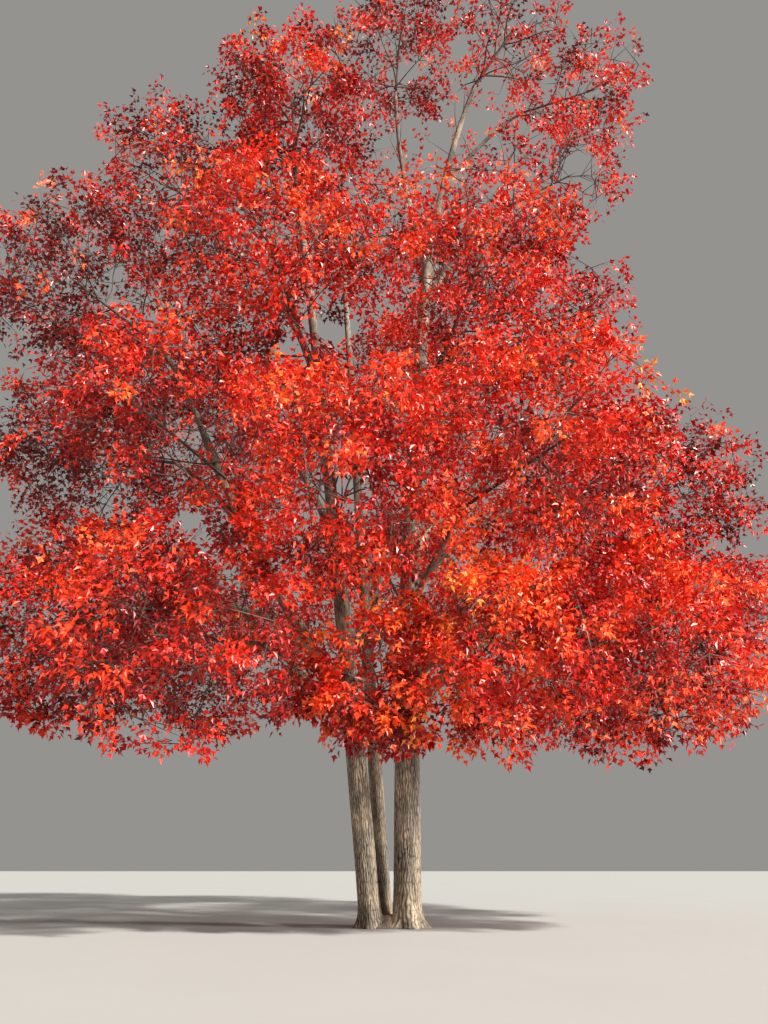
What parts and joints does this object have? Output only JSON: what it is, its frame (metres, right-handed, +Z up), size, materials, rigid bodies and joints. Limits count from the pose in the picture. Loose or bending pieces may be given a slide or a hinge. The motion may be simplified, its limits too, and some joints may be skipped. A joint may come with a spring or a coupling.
{
  "type": "red maple tree",
  "caption": "Large red maple tree in full autumn colour: several slender stems from one flared root, ascending boughs and an open, rounded crown of red leaf masses.",
  "frame": {"origin": "ground point in the middle of the root flare, on its flat underside at ground level", "axes": "+Z up along the stems, +X to the right and +Y away as seen in the picture"},
  "size_m": [17.3041, 13.792, 23.1164],
  "materials": {
    "bark": "rough furrowed grey-brown bark",
    "smooth_bark": "smooth pale grey bark",
    "leaves": "scarlet to crimson autumn leaves"
  },
  "bodies": {
    "root": {"root_flare": "bark", "stem_right": "bark", "stem_left": "bark", "stem_middle": "bark", "great_bough": "smooth_bark", "bough_low_left_front": "smooth_bark", "bough_low_left": "smooth_bark", "bough_low_right_front": "smooth_bark", "bough_low_right": "smooth_bark", "bough_right_low": "smooth_bark", "bough_right_mid": "smooth_bark", "bough_front_right_mid": "smooth_bark", "bough_front_mid": "smooth_bark", "bough_front_left_mid": "smooth_bark", "bough_left_mid": "smooth_bark", "bough_far_left": "smooth_bark", "bough_right_high": "smooth_bark", "bough_front_right_high": "smooth_bark", "bough_front_left_high": "smooth_bark", "bough_left_high": "smooth_bark", "bough_right_top": "smooth_bark", "bough_back_top": "smooth_bark", "bough_leader_main": "smooth_bark", "bough_leader_left": "smooth_bark", "bough_leader_right": "smooth_bark", "bough_back_low_right": "smooth_bark", "bough_back_low_left": "smooth_bark", "bough_back_mid": "smooth_bark", "bough_back_right_mid": "smooth_bark", "bough_back_left_mid": "smooth_bark", "bough_back_high": "smooth_bark", "leaves_low_left_front": "leaves", "leaves_low_left": "leaves", "leaves_low_front": "leaves", "leaves_low_right_front": "leaves", "leaves_low_right": "leaves", "leaves_right_low": "leaves", "leaves_right_mid": "leaves", "leaves_front_right_mid": "leaves", "leaves_front_mid": "leaves", "leaves_front_left_mid": "leaves", "leaves_left_mid": "leaves", "leaves_far_left": "leaves", "leaves_right_high": "leaves", "leaves_front_right_high": "leaves", "leaves_front_left_high": "leaves", "leaves_left_high": "leaves", "leaves_top_left": "leaves", "leaves_middle_top": "leaves", "leaves_right_top": "leaves", "leaves_back_top": "leaves", "leaves_leader_main": "leaves", "leaves_leader_left": "leaves", "leaves_leader_right": "leaves", "leaves_back_low_right": "leaves", "leaves_back_low_left": "leaves", "leaves_back_mid": "leaves", "leaves_back_right_mid": "leaves", "leaves_back_left_mid": "leaves", "leaves_back_high": "leaves"}
  },
  "joints": []
}
